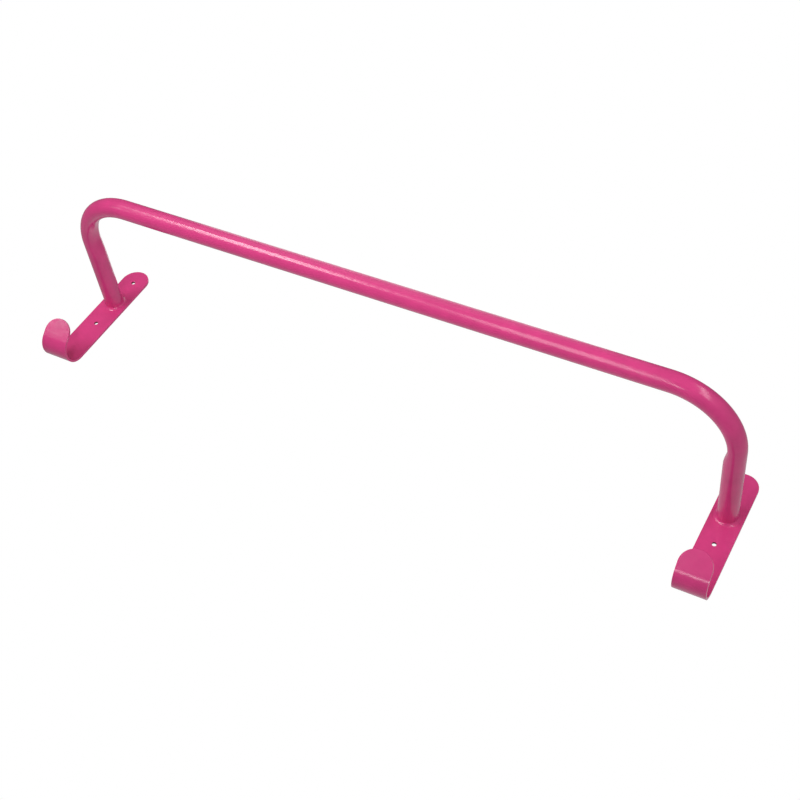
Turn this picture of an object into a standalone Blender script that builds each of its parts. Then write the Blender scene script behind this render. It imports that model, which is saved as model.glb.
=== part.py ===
"""Wall-mounted hanging rail: one bent round tube welded to two flat straps, each ending in a hook.

Frame: X runs along the rail, +Y points into the wall, +Z is up. The wall is the plane y = 0, which
both straps lie flat on. The origin is on the wall, midway between the two posts.
"""

import math

import bmesh
import bpy
from mathutils import Matrix, Vector

# Driving dimensions, in metres
POST_SPACING = 0.900
REACH = 0.200
TUBE_DIAMETER = 0.0254
TUBE_WALL = 0.002
BEND_RADIUS = 0.080
STRAP_WIDTH = 0.040
STRAP_THICKNESS = 0.003
STRAP_ABOVE_POST = 0.067
STRAP_BELOW_POST = 0.104
HOOK_INNER_RADIUS = 0.021
HOOK_BEND = math.radians(142.5)
HOOK_LIP = 0.0075
EDGE_CHAMFER = 0.0006
SCREW_HOLE_DIAMETER = 0.0055
SCREW_HOLE_OFFSET = 0.044
WELD_LEG = 0.0034
WELD_CROWN = 0.0004
GAP = 0.0003

# The cold-bent tube is pressed flatter on the inside of each bend, most near its post end.
# Distances run along the centre line, from where the post ends and the bend starts.
FLAT_DEPTH = 0.0040
FLAT_PEAK = 0.004
FLAT_RUN_IN = 0.026

# Facets
TUBE_SIDES = 24
BEND_STEPS = 16
HOOK_STEPS = 16
ROUND_END_STEPS = 8
HOLE_SIDES = 24
WELD_STEPS = 24
WELD_PROFILE_STEPS = 4

POWDER_COAT = (0.70, 0.06, 0.20, 1.0)
POWDER_COAT_ROUGHNESS = 0.38

TUBE_RADIUS = TUBE_DIAMETER / 2
HALF_SPACING = POST_SPACING / 2
STRAP_FRONT = -STRAP_THICKNESS
SIDES = {"left": -1, "right": 1}


def clear_scene():
    for obj in list(bpy.data.objects):
        bpy.data.objects.remove(obj, do_unlink=True)


def make_collection(name):
    collection = bpy.data.collections.new(name)
    bpy.context.scene.collection.children.link(collection)
    return collection


def make_material(name):
    material = bpy.data.materials.new(name)
    material.use_nodes = True
    shader = material.node_tree.nodes["Principled BSDF"]
    shader.inputs["Base Color"].default_value = POWDER_COAT
    shader.inputs["Roughness"].default_value = POWDER_COAT_ROUGHNESS
    shader.inputs["Metallic"].default_value = 0.0
    material.diffuse_color = POWDER_COAT
    return material


def add_object(name, mesh, collection, material=None):
    obj = bpy.data.objects.new(name, mesh)
    collection.objects.link(obj)
    if material:
        mesh.materials.append(material)
    return obj


def smoothstep(x):
    x = min(max(x, 0.0), 1.0)
    return x * x * (3 - 2 * x)


def bend_centre(side):
    """Centre of a bend, where the post turns into the bar."""
    return Vector((side * (HALF_SPACING - BEND_RADIUS), BEND_RADIUS - REACH, 0))


def tube_path():
    """Centre line from the left post's foot, through both bends, to the right post's foot."""
    foot_y = STRAP_FRONT - GAP
    path = [Vector((-HALF_SPACING, foot_y, 0))]
    for side in (-1, 1):
        bend = []
        for step in range(BEND_STEPS + 1):
            turn = math.pi / 2 * step / BEND_STEPS
            outward = Vector((side * math.cos(turn), -math.sin(turn), 0))
            bend.append(bend_centre(side) + BEND_RADIUS * outward)
        path += bend if side < 0 else bend[::-1]
    path.append(Vector((HALF_SPACING, foot_y, 0)))
    return path


def add_run_in_points(path):
    """Extra stations on each post, where the flattening runs out into round tube."""
    tangent_y = BEND_RADIUS - REACH
    length = FLAT_RUN_IN - FLAT_PEAK
    run_in = [Vector((0, tangent_y + length * share, 0)) for share in (1.0, 0.75, 0.5, 0.25)]
    left = [Vector((-HALF_SPACING, point.y, 0)) for point in run_in]
    right = [Vector((HALF_SPACING, point.y, 0)) for point in reversed(run_in)]
    return path[:1] + left + path[1:-1] + right + path[-1:]


def flat_depth(distance):
    """How far the inner wall is pressed in, at a distance into the bend (negative on the post)."""
    if distance < FLAT_PEAK:
        return FLAT_DEPTH * smoothstep(1 + (distance - FLAT_PEAK) / FLAT_RUN_IN)
    run_out = BEND_RADIUS * math.pi / 2 - FLAT_PEAK
    return FLAT_DEPTH * (1 - smoothstep((distance - FLAT_PEAK) / run_out))


def flatten_inside_of_bends(mesh):
    """Press the inner wall of each bend outwards, away from the bend's centre."""
    for vertex in mesh.vertices:
        side = 1 if vertex.co.x > 0 else -1
        centre = bend_centre(side)
        along_x = side * (vertex.co.x - centre.x)
        along_y = centre.y - vertex.co.y
        if along_x < 0:
            continue
        if along_y < 0:
            distance = along_y
            outward = Vector((side, 0, 0))
            offset = along_x - BEND_RADIUS
        else:
            turn = math.atan2(along_y, along_x)
            distance = turn * BEND_RADIUS
            outward = Vector((side * math.cos(turn), -math.sin(turn), 0))
            offset = math.hypot(along_x, along_y) - BEND_RADIUS
        inner_share = max(-offset / TUBE_RADIUS, 0.0)
        vertex.co += outward * flat_depth(distance) * inner_share ** 2


def make_rail_tube(collection, material):
    """The bar and both posts: one round tube, bent twice, open at both feet."""
    path = add_run_in_points(tube_path())
    curve = bpy.data.curves.new("rail_path", "CURVE")
    curve.dimensions = "3D"
    curve.bevel_depth = TUBE_RADIUS
    curve.bevel_resolution = (TUBE_SIDES - 4) // 2
    spline = curve.splines.new("POLY")
    spline.points.add(len(path) - 1)
    for point, place in zip(spline.points, path):
        point.co = (*place, 1)
    guide = add_object("rail_path", curve, collection)
    bpy.context.view_layer.update()
    evaluated = guide.evaluated_get(bpy.context.evaluated_depsgraph_get())
    mesh = bpy.data.meshes.new_from_object(evaluated)
    mesh.name = "rail_tube"
    bpy.data.objects.remove(guide)
    flatten_inside_of_bends(mesh)
    mesh.shade_smooth()
    tube = add_object("rail_tube", mesh, collection, material)
    wall = tube.modifiers.new("wall", "SOLIDIFY")
    wall.thickness = TUBE_WALL
    wall.offset = -1
    wall.use_even_offset = True
    return tube


def strap_rows():
    """Stations along the strap's back face, from its top tip to the tip of the hook's lip.

    Each is the strap's half width there and the place (y, z): the strap lies on the wall, turns
    away from it round the hook's outer radius, and runs straight on to the tip of the lip.
    """
    half_width = STRAP_WIDTH / 2
    end_turns = [math.pi / 2 * step / ROUND_END_STEPS for step in range(ROUND_END_STEPS + 1)]
    rows = []
    for turn in end_turns:
        z = STRAP_ABOVE_POST - half_width * (1 - math.cos(turn))
        rows.append((half_width * math.sin(turn), 0, z))
    outer_radius = HOOK_INNER_RADIUS + STRAP_THICKNESS
    for step in range(HOOK_STEPS + 1):
        turn = HOOK_BEND * step / HOOK_STEPS
        y = outer_radius * (math.cos(turn) - 1)
        z = -STRAP_BELOW_POST - outer_radius * math.sin(turn)
        rows.append((half_width, y, z))
    bend_end = rows[-1]
    for turn in end_turns:
        length = HOOK_LIP + half_width * math.sin(turn)
        y = bend_end[1] - length * math.sin(HOOK_BEND)
        z = bend_end[2] - length * math.cos(HOOK_BEND)
        rows.append((half_width * math.cos(turn), y, z))
    return rows


def make_strap_sheet(name):
    """The strap's back face: a grid, two quads wide, laid along the strap's rows."""
    rows = strap_rows()
    sheet = bmesh.new()
    bmesh.ops.create_grid(sheet, x_segments=2, y_segments=len(rows) - 1, size=1)
    for vertex in sheet.verts:
        row = round((1 - vertex.co.y) / 2 * (len(rows) - 1))
        half_width, y, z = rows[row]
        vertex.co = Vector((vertex.co.x * half_width, y, z))
    bmesh.ops.remove_doubles(sheet, verts=sheet.verts, dist=0.00001)
    mesh = bpy.data.meshes.new(name)
    sheet.to_mesh(mesh)
    sheet.free()
    return mesh


def make_screw_hole_cutters(side_name, side, collection):
    """Two cylinders through the strap, above and below the post."""
    cutters = []
    for place, height in (("upper", SCREW_HOLE_OFFSET), ("lower", -SCREW_HOLE_OFFSET)):
        drill = bmesh.new()
        bmesh.ops.create_cone(
            drill,
            cap_ends=True,
            segments=HOLE_SIDES,
            radius1=SCREW_HOLE_DIAMETER / 2,
            radius2=SCREW_HOLE_DIAMETER / 2,
            depth=STRAP_THICKNESS * 4,
            matrix=Matrix.Rotation(math.pi / 2, 4, "X"),
        )
        mesh = bpy.data.meshes.new(f"{side_name}_{place}_screw_drill")
        drill.to_mesh(mesh)
        drill.free()
        cutter = add_object(mesh.name, mesh, collection)
        cutter.location = (side * HALF_SPACING, STRAP_FRONT / 2, height)
        cutter.hide_render = True
        cutter.display_type = "WIRE"
        cutters.append(cutter)
    return cutters


def make_hook_strap(side_name, side, collection, cutter_collection, material):
    """A flat wall strap with round ends, two screw holes, and its foot turned up into a hook."""
    name = f"{side_name}_hook_strap"
    mesh = make_strap_sheet(name)
    strap = add_object(name, mesh, collection, material)
    strap.location.x = side * HALF_SPACING
    thickness = strap.modifiers.new("thickness", "SOLIDIFY")
    thickness.thickness = STRAP_THICKNESS
    thickness.offset = 1
    thickness.use_even_offset = True
    chamfer = strap.modifiers.new("chamfer", "BEVEL")
    chamfer.width = EDGE_CHAMFER
    chamfer.segments = 1
    chamfer.limit_method = "ANGLE"
    chamfer.angle_limit = math.radians(50)
    for cutter in make_screw_hole_cutters(side_name, side, cutter_collection):
        hole = strap.modifiers.new("screw_hole", "BOOLEAN")
        hole.operation = "DIFFERENCE"
        hole.solver = "EXACT"
        hole.object = cutter
    return strap


def weld_profile():
    """Closed section of the fillet: down its crowned outer side, then in along the strap."""
    inner = TUBE_RADIUS + GAP
    section = []
    for step in range(WELD_PROFILE_STEPS + 1):
        share = step / WELD_PROFILE_STEPS
        crown = WELD_CROWN * math.sin(math.pi * share) / math.sqrt(2)
        out = WELD_LEG * share + crown
        up = WELD_LEG * (1 - share) + crown
        section.append(Vector((inner + out, 0, up)))
    section.append(Vector((inner, 0, 0)))
    return section


def make_weld_bead(side_name, side, collection, material):
    """The fillet weld that joins a post's foot to its strap, as a ring round the tube."""
    section = bmesh.new()
    vertices = [section.verts.new(point) for point in weld_profile()]
    for start, end in zip(vertices, vertices[1:] + vertices[:1]):
        section.edges.new((start, end))
    name = f"{side_name}_weld_bead"
    mesh = bpy.data.meshes.new(name)
    section.to_mesh(mesh)
    section.free()
    bead = add_object(name, mesh, collection, material)
    bead.location = (side * HALF_SPACING, STRAP_FRONT - GAP, 0)
    bead.rotation_euler = (math.pi / 2, 0, 0)
    ring = bead.modifiers.new("ring", "SCREW")
    ring.axis = "Z"
    ring.steps = WELD_STEPS
    ring.render_steps = WELD_STEPS
    ring.use_merge_vertices = True
    ring.merge_threshold = 0.00001
    return bead


def main():
    clear_scene()
    parts = make_collection("wall_hanging_rail")
    cutters = make_collection("cutters")
    make_rail_tube(parts, make_material("rail_tube_powder_coat"))
    for side_name, side in SIDES.items():
        strap_coat = make_material(f"{side_name}_strap_powder_coat")
        make_hook_strap(side_name, side, parts, cutters, strap_coat)
        make_weld_bead(side_name, side, parts, make_material(f"{side_name}_weld_powder_coat"))


main()
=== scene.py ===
"""Looks for a wall-mounted hanging rail: a bent round tube on two flat hook straps, powder coated.

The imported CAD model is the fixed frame. Each of its nodes is replaced by a finer piece in the same
place, and every piece has a procedural powder coat.
"""

import math

import bmesh
import bpy
from mathutils import Matrix, Vector, noise


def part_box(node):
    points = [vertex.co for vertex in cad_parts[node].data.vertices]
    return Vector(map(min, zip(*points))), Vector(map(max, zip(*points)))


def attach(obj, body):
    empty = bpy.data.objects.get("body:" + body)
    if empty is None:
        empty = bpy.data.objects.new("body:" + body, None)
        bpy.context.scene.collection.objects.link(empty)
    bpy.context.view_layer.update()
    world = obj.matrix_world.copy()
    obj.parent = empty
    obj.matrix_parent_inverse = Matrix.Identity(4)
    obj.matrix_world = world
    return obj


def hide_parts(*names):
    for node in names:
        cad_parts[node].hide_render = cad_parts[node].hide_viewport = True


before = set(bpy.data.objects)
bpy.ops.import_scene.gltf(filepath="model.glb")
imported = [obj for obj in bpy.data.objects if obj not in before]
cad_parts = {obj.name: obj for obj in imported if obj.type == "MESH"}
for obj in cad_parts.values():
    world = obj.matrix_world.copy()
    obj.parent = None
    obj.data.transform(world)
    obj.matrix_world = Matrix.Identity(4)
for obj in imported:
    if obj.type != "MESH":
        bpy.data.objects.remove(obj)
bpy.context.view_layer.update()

# Sizes of the CAD design that its nodes' boxes don't give, in metres
BEND_RADIUS = 0.080
TUBE_WALL = 0.002
STRAP_THICKNESS = 0.003
HOOK_INNER_RADIUS = 0.021
HOOK_BEND = math.radians(142.5)
HOOK_LIP = 0.0075
SCREW_HOLE_DIAMETER = 0.0055
SCREW_HOLE_OFFSET = 0.044
FLAT_DEPTH = 0.0040
FLAT_PEAK = 0.004
FLAT_RUN_IN = 0.026

# Fineness of the visible meshes, in steps or sides
TUBE_SIDES = 96
BEND_STEPS = 72
BAR_STEPS = 48
POST_STEPS = 24
HOOK_STEPS = 48
ROUND_END_STEPS = 24
STRAP_COLUMNS = 2
HOLE_SIDES = 48
WELD_TURNS = 144
WELD_SECTION_STEPS = 12

# Edges, in metres
EDGE_ROUND = 0.0012
EDGE_ROUND_STEPS = 4
HOLE_ROUND = 0.00025
HOLE_ROUND_STEPS = 2
ROUNDED_ANGLE = math.radians(45)
TUBE_SHARP_ANGLE = math.radians(50)
MERGE_DISTANCE = 0.00001
DRILL_LENGTH = STRAP_THICKNESS * 4

# Welds: how deep they bite into tube and strap in metres, the rest as shares of the bead's legs
WELD_BITE = 0.0006
WELD_RIPPLES = 17
WELD_RIPPLE_SHARE = 0.012
WELD_DRIFT_SCALE = 1.3
WELD_DRIFT_SHARE = 0.10
WELD_SIZE = 0.88
WELD_CORNER_OUT = 0.14
WELD_CORNER_UP = 0.44
WELD_SHARP_ANGLE = math.radians(60)

SIDES = {"left": -1, "right": 1}

tube_low, tube_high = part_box("rail_tube")
strap_low, strap_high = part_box("right_hook_strap")
bead_low, bead_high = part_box("right_weld_bead")
TUBE_RADIUS = (tube_high.z - tube_low.z) / 2
REACH = -tube_low.y - TUBE_RADIUS
POST_X = tube_high.x - TUBE_RADIUS
STRAP_WIDTH = strap_high.x - strap_low.x
STRAP_TOP = strap_high.z
STRAP_BACK = strap_high.y
HOOK_CENTRE_Z = strap_low.z + HOOK_INNER_RADIUS + STRAP_THICKNESS
STRAP_FRONT = STRAP_BACK - STRAP_THICKNESS
WELD_RADIUS = (bead_high.z - bead_low.z) / 2
WELD_HEIGHT = bead_high.y - bead_low.y


def add_piece(name, mesh):
    piece = bpy.data.objects.new(name, mesh)
    bpy.context.scene.collection.objects.link(piece)
    return piece


def evaluated_mesh(obj):
    """A new mesh of what the object's curve or modifiers make."""
    bpy.context.view_layer.update()
    evaluated = obj.evaluated_get(bpy.context.evaluated_depsgraph_get())
    return bpy.data.meshes.new_from_object(evaluated)


def apply_modifiers(piece):
    mesh = evaluated_mesh(piece)
    piece.modifiers.clear()
    piece.data = mesh


def new_mesh(name, shape):
    """Turn a bmesh into a mesh, and free it."""
    mesh = bpy.data.meshes.new(name)
    shape.to_mesh(mesh)
    shape.free()
    return mesh


def remove(obj):
    bpy.data.objects.remove(obj, do_unlink=True)


def smoothstep(x):
    x = min(max(x, 0.0), 1.0)
    return x * x * (3 - 2 * x)


# ---------------------------------------------------------------- tube

def bend_centre(side):
    return Vector((side * (POST_X - BEND_RADIUS), BEND_RADIUS - REACH, 0))


def spread(start, end, steps):
    """Points from start up to, but not including, end."""
    return [start.lerp(end, step / steps) for step in range(steps)]


def tube_path():
    """Centre line from the left post's foot to the right post's foot."""
    half = []
    foot = Vector((POST_X, tube_high.y, 0))
    bend_start = Vector((POST_X, BEND_RADIUS - REACH, 0))
    half += spread(foot, bend_start, POST_STEPS)
    for step in range(BEND_STEPS):
        turn = math.pi / 2 * step / BEND_STEPS
        outward = Vector((math.cos(turn), -math.sin(turn), 0))
        half.append(bend_centre(1) + BEND_RADIUS * outward)
    bend_end = Vector((POST_X - BEND_RADIUS, -REACH, 0))
    half += spread(bend_end, Vector((0, -REACH, 0)), BAR_STEPS // 2)
    mirrored = [Vector((-point.x, point.y, 0)) for point in half]
    return mirrored + [Vector((0, -REACH, 0))] + half[::-1]


def flat_depth(distance):
    """How far the inner wall is pressed in, at a distance into the bend (negative on the post)."""
    if distance < FLAT_PEAK:
        return FLAT_DEPTH * smoothstep(1 + (distance - FLAT_PEAK) / FLAT_RUN_IN)
    run_out = BEND_RADIUS * math.pi / 2 - FLAT_PEAK
    return FLAT_DEPTH * (1 - smoothstep((distance - FLAT_PEAK) / run_out))


def flatten_inside_of_bends(mesh):
    """Press the inner wall of each bend outwards, as cold bending does."""
    for vertex in mesh.vertices:
        side = 1 if vertex.co.x > 0 else -1
        centre = bend_centre(side)
        along_x = side * (vertex.co.x - centre.x)
        along_y = centre.y - vertex.co.y
        if along_x < 0:  # on the straight bar
            continue
        if along_y < 0:
            distance = along_y
            outward = Vector((side, 0, 0))
            offset = along_x - BEND_RADIUS
        else:
            turn = math.atan2(along_y, along_x)
            distance = turn * BEND_RADIUS
            outward = Vector((side * math.cos(turn), -math.sin(turn), 0))
            offset = math.hypot(along_x, along_y) - BEND_RADIUS
        inner_share = max(-offset / TUBE_RADIUS, 0.0)
        vertex.co += outward * flat_depth(distance) * inner_share ** 2


def sweep_tube():
    """Surface of a round tube along its centre line."""
    path = tube_path()
    curve = bpy.data.curves.new("tube_path", "CURVE")
    curve.dimensions = "3D"
    curve.bevel_depth = TUBE_RADIUS
    curve.bevel_resolution = (TUBE_SIDES - 4) // 2
    spline = curve.splines.new("POLY")
    spline.points.add(len(path) - 1)
    for point, place in zip(spline.points, path):
        point.co = (*place, 1)
    guide = add_piece("tube_path", curve)
    mesh = evaluated_mesh(guide)
    remove(guide)
    return mesh


def make_tube():
    mesh = sweep_tube()
    flatten_inside_of_bends(mesh)
    mesh.shade_smooth()
    tube = add_piece("bent_tube", mesh)
    wall = tube.modifiers.new("wall", "SOLIDIFY")
    wall.thickness = TUBE_WALL
    wall.offset = -1
    wall.use_even_offset = True
    apply_modifiers(tube)
    tube.data.set_sharp_from_angle(angle=TUBE_SHARP_ANGLE)
    return tube


# ---------------------------------------------------------------- straps

def strap_rows():
    """Half width and place (y, z) of stations along the strap's back face, tip to tip."""
    half_width = STRAP_WIDTH / 2
    end_turns = [math.pi / 2 * step / ROUND_END_STEPS for step in range(ROUND_END_STEPS + 1)]
    rows = []
    for turn in end_turns:
        z = STRAP_TOP - half_width * (1 - math.cos(turn))
        rows.append((half_width * math.sin(turn), STRAP_BACK, z))
    outer_radius = HOOK_INNER_RADIUS + STRAP_THICKNESS
    for step in range(HOOK_STEPS + 1):
        turn = HOOK_BEND * step / HOOK_STEPS
        y = STRAP_BACK + outer_radius * (math.cos(turn) - 1)
        z = HOOK_CENTRE_Z - outer_radius * math.sin(turn)
        rows.append((half_width, y, z))
    bend_end = rows[-1]
    for turn in end_turns:
        length = HOOK_LIP + half_width * math.sin(turn)
        y = bend_end[1] - length * math.sin(HOOK_BEND)
        z = bend_end[2] - length * math.cos(HOOK_BEND)
        rows.append((half_width * math.cos(turn), y, z))
    return rows


def make_strap_sheet(name):
    """The strap's back face: a grid whose rows are moved onto the stations."""
    rows = strap_rows()
    sheet = bmesh.new()
    last = len(rows) - 1
    bmesh.ops.create_grid(sheet, x_segments=STRAP_COLUMNS, y_segments=last, size=1)
    for vertex in sheet.verts:
        half_width, y, z = rows[round((1 - vertex.co.y) / 2 * last)]
        vertex.co = Vector((vertex.co.x * half_width, y, z))
    bmesh.ops.remove_doubles(sheet, verts=sheet.verts, dist=MERGE_DISTANCE)
    mesh = new_mesh(name, sheet)
    mesh.shade_smooth()
    return mesh


def make_drill(x, z, bore_painted_shade_coat):
    """A bar along Y that cuts a screw hole and leaves its own coat on the hole's wall; that coat is
    darker, painted shade for the inside of the hole.
    """
    drill = bmesh.new()
    turned = Matrix.Translation((x, STRAP_FRONT, z)) @ Matrix.Rotation(math.pi / 2, 4, "X")
    radius = SCREW_HOLE_DIAMETER / 2
    bmesh.ops.create_cone(
        drill, cap_ends=True, segments=HOLE_SIDES, radius1=radius, radius2=radius,
        depth=DRILL_LENGTH, matrix=turned,
    )
    mesh = new_mesh("drill", drill)
    mesh.shade_smooth()
    mesh.materials.append(bore_painted_shade_coat)
    return add_piece("drill", mesh)


def round_edges(piece, width, segments):
    edges = piece.modifiers.new("edges", "BEVEL")
    edges.width = width
    edges.segments = segments
    edges.limit_method = "ANGLE"
    edges.angle_limit = ROUNDED_ANGLE


def make_strap(name, side, coat, bore_painted_shade_coat):
    """Thicken the sheet, round its edges, then drill it, so that the screw holes stay crisp."""
    strap = add_piece(name, make_strap_sheet(name))
    strap.data.materials.append(coat)
    strap.data.transform(Matrix.Translation((side * POST_X, 0, 0)))
    thickness = strap.modifiers.new("thickness", "SOLIDIFY")
    thickness.thickness = STRAP_THICKNESS
    thickness.offset = 1
    thickness.use_even_offset = True
    round_edges(strap, EDGE_ROUND, EDGE_ROUND_STEPS)
    heights = (SCREW_HOLE_OFFSET, -SCREW_HOLE_OFFSET)
    drills = [make_drill(side * POST_X, z, bore_painted_shade_coat) for z in heights]
    for drill in drills:
        hole = strap.modifiers.new("hole", "BOOLEAN")
        hole.operation = "DIFFERENCE"
        hole.solver = "EXACT"
        hole.material_mode = "TRANSFER"
        hole.object = drill
    round_edges(strap, HOLE_ROUND, HOLE_ROUND_STEPS)
    strap.modifiers.new("normals", "WEIGHTED_NORMAL")
    apply_modifiers(strap)
    for drill in drills:
        remove(drill)
    return strap


# ---------------------------------------------------------------- welds

def weld_section(angle, seed):
    """Offsets (out from the tube's axis, up from the strap) of the bead's section at an angle.

    The fillet is hollow: it leaves the tube steeply and meets the strap at a low angle.
    """
    place = Vector((math.cos(angle), math.sin(angle), seed))
    drift = noise.noise(place * WELD_DRIFT_SCALE)
    change = WELD_DRIFT_SHARE * drift
    ripple = WELD_RIPPLE_SHARE * math.cos(WELD_RIPPLES * angle + 2 * drift)
    share_of_box = WELD_SIZE + change + ripple
    leg_out = (WELD_RADIUS - TUBE_RADIUS) * share_of_box
    leg_up = WELD_HEIGHT * share_of_box
    start = Vector((0, leg_up))
    end = Vector((leg_out, 0))
    corner = Vector((leg_out * (WELD_CORNER_OUT + change), leg_up * (WELD_CORNER_UP + change)))
    section = []
    for step in range(WELD_SECTION_STEPS + 1):
        share = step / WELD_SECTION_STEPS
        point = start.lerp(corner, share).lerp(corner.lerp(end, share), share)
        section.append((TUBE_RADIUS + point.x, point.y))
    section.append((TUBE_RADIUS + leg_out - WELD_BITE, -WELD_BITE))
    section.append((TUBE_RADIUS - WELD_BITE, -WELD_BITE))
    section.append((TUBE_RADIUS - WELD_BITE, leg_up - WELD_BITE))
    return section


def make_weld(name, side):
    """A ring round the post's foot; each side has its own drift."""
    bead = bmesh.new()
    rings = []
    for turn in range(WELD_TURNS):
        angle = 2 * math.pi * turn / WELD_TURNS
        ring = []
        for out, up in weld_section(angle, side):
            x = side * POST_X + out * math.cos(angle)
            z = out * math.sin(angle)
            ring.append(bead.verts.new((x, STRAP_FRONT - up, z)))
        rings.append(ring)
    for ring, following in zip(rings, rings[1:] + rings[:1]):
        for corner in range(len(ring)):
            after = (corner + 1) % len(ring)
            bead.faces.new((ring[corner], following[corner], following[after], ring[after]))
    bmesh.ops.recalc_face_normals(bead, faces=bead.faces)
    mesh = new_mesh(name, bead)
    mesh.shade_smooth()
    mesh.set_sharp_from_angle(angle=WELD_SHARP_ANGLE)
    return add_piece(name, mesh)


# ---------------------------------------------------------------- material

ROSE = (0.765, 0.058, 0.249)
# Darker colour and weaker gloss for the screw holes' walls: painted shade, standing in for the shade
# inside the holes
BORE_PAINTED_SHADE_ROSE = (0.22, 0.012, 0.055)
COAT_SPECULAR = 0.5
BORE_SHADE_SPECULAR = 0.1

# Noise scales are per metre, bump heights in metres
TONE = {"scale": 45, "detail": 3, "roughness": 0.55}
TONE_DARKEST = 0.93
TONE_LIGHTEST = 1.05
GLOSS = {"scale": 160, "detail": 2, "roughness": 0.5}
GLOSS_ROUGHNESS = (0.18, 0.23)
NOISE_SPAN = (0.3, 0.7)
WAVES = {"scale": 110, "detail": 0, "roughness": 0.4}
WAVE_HEIGHT = 0.00010
PEEL = {"scale": 420, "detail": 0, "roughness": 0.5}
PEEL_HEIGHT = 0.000012


def new_node(tree, kind, **settings):
    node = tree.nodes.new(kind)
    for key, value in settings.items():
        setattr(node, key, value)
    return node


def coat_noise(tree, place, scale, detail, roughness):
    texture = new_node(tree, "ShaderNodeTexNoise")
    texture.inputs["Scale"].default_value = scale
    texture.inputs["Detail"].default_value = detail
    texture.inputs["Roughness"].default_value = roughness
    tree.links.new(place, texture.inputs["Vector"])
    return texture.outputs["Fac"]


def coat_bump(tree, height, distance):
    bump = new_node(tree, "ShaderNodeBump")
    bump.inputs["Strength"].default_value = 1.0
    bump.inputs["Distance"].default_value = distance
    tree.links.new(height, bump.inputs["Height"])
    return bump


def powder_coat(name, colour, specular=COAT_SPECULAR):
    """Satin powder coat over steel: even colour, with orange peel and longer waves in its gloss."""
    material = bpy.data.materials.new(name)
    material.use_nodes = True
    tree = material.node_tree
    shader = tree.nodes["Principled BSDF"]
    shader.inputs["Metallic"].default_value = 0.0
    shader.inputs["IOR"].default_value = 1.5
    shader.inputs["Specular IOR Level"].default_value = specular
    place = new_node(tree, "ShaderNodeTexCoord").outputs["Object"]

    tone = new_node(tree, "ShaderNodeValToRGB")
    shades = (TONE_DARKEST, TONE_LIGHTEST)
    for element, position, shade in zip(tone.color_ramp.elements, NOISE_SPAN, shades):
        element.position = position
        element.color = (*[min(channel * shade, 1) for channel in colour], 1)
    tree.links.new(coat_noise(tree, place, **TONE), tone.inputs["Fac"])
    tree.links.new(tone.outputs["Color"], shader.inputs["Base Color"])

    gloss = new_node(tree, "ShaderNodeMapRange")
    gloss.inputs["From Min"].default_value, gloss.inputs["From Max"].default_value = NOISE_SPAN
    gloss.inputs["To Min"].default_value, gloss.inputs["To Max"].default_value = GLOSS_ROUGHNESS
    tree.links.new(coat_noise(tree, place, **GLOSS), gloss.inputs["Value"])
    tree.links.new(gloss.outputs["Result"], shader.inputs["Roughness"])

    waves = coat_bump(tree, coat_noise(tree, place, **WAVES), WAVE_HEIGHT)
    peel = coat_bump(tree, coat_noise(tree, place, **PEEL), PEEL_HEIGHT)
    tree.links.new(waves.outputs["Normal"], peel.inputs["Normal"])
    tree.links.new(peel.outputs["Normal"], shader.inputs["Normal"])
    return material


# ---------------------------------------------------------------- studio

WHITE = (1, 1, 1, 1)

FLOOR_Z = -1.6
FLOOR_RADIUS = 40
FLOOR_SIDES = 96
FLOOR_GREY = (0.86, 0.86, 0.86, 1)
FLOOR_ROUGHNESS = 0.8
FLOOR_GLOW = 0.5

CAMERA_PLACE = Vector((0.690, -1.2996, -0.953))
CAMERA_AIM = Vector((0.0470, -0.0699, -0.0464))
CAMERA_ROLL = math.radians(-35.11)
CAMERA_LENS = 61.18
CAMERA_SENSOR = 36

# Softboxes: place and size in metres, turn about their own axis in degrees, power in watts
SOFTBOXES = {
    "left_softbox": {"place": (-1.02, -1.60, -0.45), "size": (0.38, 0.92), "turn": 1, "power": 12.4},
    "right_softbox": {"place": (0.88, -0.88, 0.09), "size": (0.18, 1.19), "turn": 7, "power": 3.0},
    "front_softbox": {"place": (-0.02, -0.85, -0.59), "size": (0.59, 0.33), "turn": -75, "power": 2.5},
    "hook_softbox": {"place": (0.26, -0.72, -1.16), "size": (0.30, 0.20), "turn": 0, "power": 1.4},
    "low_softbox": {"place": (-1.32, -0.97, -0.77), "size": (0.16, 0.22), "turn": 16, "power": 0.75},
    "high_softbox": {"place": (-0.94, -1.72, 1.28), "size": (1.10, 2.20), "turn": 0, "power": 4.2},
    "overhead_softbox": {"place": (-0.60, 0.10, 1.40), "size": (1.00, 1.80), "turn": -66, "power": 6.0},
}

# Brightness of the surround towards each of its six sides, lower end of the axis first
BACKDROP_WHITE = 1.0
SURROUND = {
    "X": {"left": 0.15, "right": 0.40},
    "Y": {"front": 0.25, "back": 0.90},
    "Z": {"below": 0.16, "above": 0.10},
}


def make_camera():
    """Camera at the photo's angle."""
    data = bpy.data.cameras.new("camera")
    data.sensor_width = CAMERA_SENSOR
    data.lens = CAMERA_LENS
    camera = bpy.data.objects.new("camera", data)
    bpy.context.scene.collection.objects.link(camera)
    level = (CAMERA_AIM - CAMERA_PLACE).to_track_quat("-Z", "Y").to_matrix().to_4x4()
    roll = Matrix.Rotation(-CAMERA_ROLL, 4, "Z")
    camera.matrix_world = Matrix.Translation(CAMERA_PLACE) @ level @ roll
    bpy.context.scene.camera = camera


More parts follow.
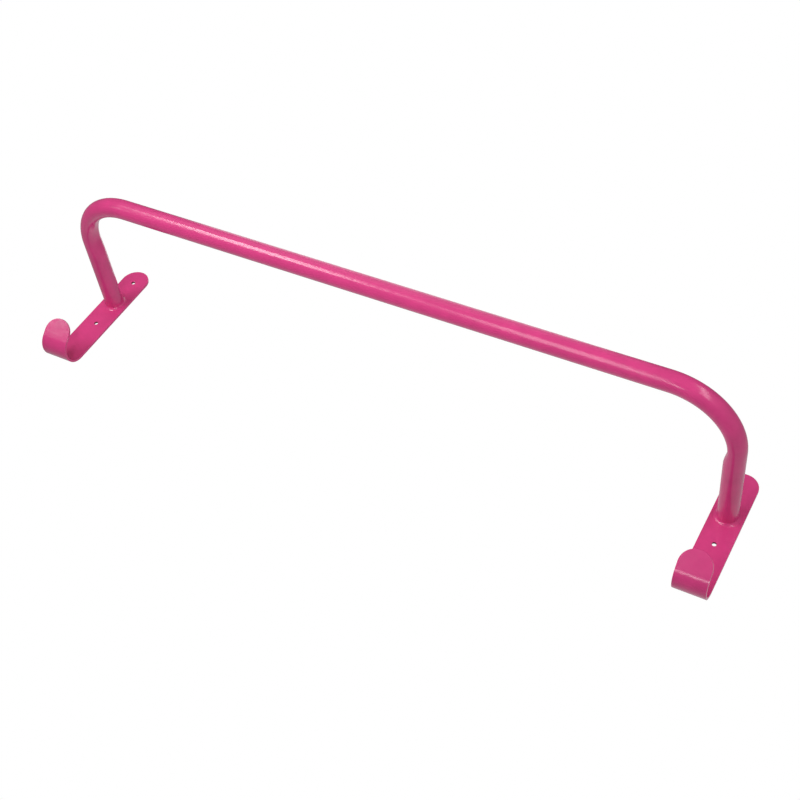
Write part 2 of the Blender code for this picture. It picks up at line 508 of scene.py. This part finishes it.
def make_floor():
    """Plain pale floor, which the camera sees but which throws no light on the object."""
    disc = bmesh.new()
    bmesh.ops.create_circle(disc, cap_ends=True, segments=FLOOR_SIDES, radius=FLOOR_RADIUS)
    mesh = new_mesh("floor", disc)
    floor = add_piece("floor", mesh)
    floor.location.z = FLOOR_Z
    material = bpy.data.materials.new("floor")
    material.use_nodes = True
    shader = material.node_tree.nodes["Principled BSDF"]
    shader.inputs["Base Color"].default_value = FLOOR_GREY
    shader.inputs["Roughness"].default_value = FLOOR_ROUGHNESS
    shader.inputs["Emission Color"].default_value = WHITE
    shader.inputs["Emission Strength"].default_value = FLOOR_GLOW
    mesh.materials.append(material)
    floor.visible_diffuse = False
    floor.visible_glossy = False


def make_softbox(name, place, size, turn, power):
    """Soft light aimed at the middle of the bar."""
    data = bpy.data.lights.new(name, "AREA")
    data.shape = "RECTANGLE"
    data.size, data.size_y = size
    data.energy = power
    softbox = bpy.data.objects.new(name, data)
    bpy.context.scene.collection.objects.link(softbox)
    towards_bar = Vector((0, -REACH, 0)) - Vector(place)
    facing = towards_bar.to_track_quat("-Z", "Y").to_matrix().to_4x4()
    turned = Matrix.Rotation(math.radians(turn), 4, "Z")
    softbox.matrix_world = Matrix.Translation(place) @ facing @ turned
    softbox.visible_camera = False


def new_math(tree, operation, first, second):
    """Math node of two inputs, each a number or another node's output."""
    node = new_node(tree, "ShaderNodeMath", operation=operation)
    for socket, value in zip(node.inputs, (first, second)):
        if isinstance(value, (int, float)):
            socket.default_value = value
        else:
            tree.links.new(value, socket)
    return node.outputs["Value"]


def surround_brightness(tree):
    """Brightness by direction: the sides' own, weighted by the square of each axis's share."""
    direction = new_node(tree, "ShaderNodeTexCoord")
    split = new_node(tree, "ShaderNodeSeparateXYZ")
    tree.links.new(direction.outputs["Generated"], split.inputs["Vector"])
    brightness = 0.0
    for axis, sides in SURROUND.items():
        along = split.outputs[axis]
        side = new_node(tree, "ShaderNodeMapRange", name=axis)
        side.inputs["To Min"].default_value, side.inputs["To Max"].default_value = sides.values()
        tree.links.new(new_math(tree, "GREATER_THAN", along, 0.0), side.inputs["Value"])
        share = new_math(tree, "MULTIPLY", along, along)
        lit = new_math(tree, "MULTIPLY", share, side.outputs["Result"])
        brightness = new_math(tree, "ADD", lit, brightness)
    return brightness


def make_world():
    """Soft surround that lights the object, and a plain white backdrop that the camera sees."""
    world = bpy.data.worlds.new("studio")
    bpy.context.scene.world = world
    world.use_nodes = True
    tree = world.node_tree
    surround = tree.nodes["Background"]
    output = tree.nodes["World Output"]
    tree.links.new(surround_brightness(tree), surround.inputs["Strength"])
    surround.inputs["Color"].default_value = WHITE
    backdrop = new_node(tree, "ShaderNodeBackground")
    backdrop.inputs["Color"].default_value = WHITE
    backdrop.inputs["Strength"].default_value = BACKDROP_WHITE
    seen = new_node(tree, "ShaderNodeLightPath")
    mix = new_node(tree, "ShaderNodeMixShader")
    tree.links.new(seen.outputs["Is Camera Ray"], mix.inputs["Fac"])
    tree.links.new(surround.outputs["Background"], mix.inputs[1])
    tree.links.new(backdrop.outputs["Background"], mix.inputs[2])
    tree.links.new(mix.outputs["Shader"], output.inputs["Surface"])


# ---------------------------------------------------------------- assembly

def place_piece(piece, node):
    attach(piece, "root")
    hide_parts(node)


make_camera()
make_floor()
for box_name, settings in SOFTBOXES.items():
    make_softbox(box_name, **settings)
make_world()
bpy.context.scene.view_settings.view_transform = "Standard"

tube = make_tube()
tube.data.materials.append(powder_coat("rail_coat", ROSE))
place_piece(tube, "rail_tube")
strap_coat = powder_coat("strap_coat", ROSE)
# The hole walls' coat is painted shade: darker and less glossy than the rest of the coat
bore_painted_shade_coat = powder_coat("bore_painted_shade_coat", BORE_PAINTED_SHADE_ROSE, specular=BORE_SHADE_SPECULAR)
weld_coat = powder_coat("weld_coat", ROSE)
for side_name, side in SIDES.items():
    strap = make_strap(f"{side_name}_strap", side, strap_coat, bore_painted_shade_coat)
    place_piece(strap, f"{side_name}_hook_strap")
    weld = make_weld(f"{side_name}_weld", side)
    weld.data.materials.append(weld_coat)
    place_piece(weld, f"{side_name}_weld_bead")
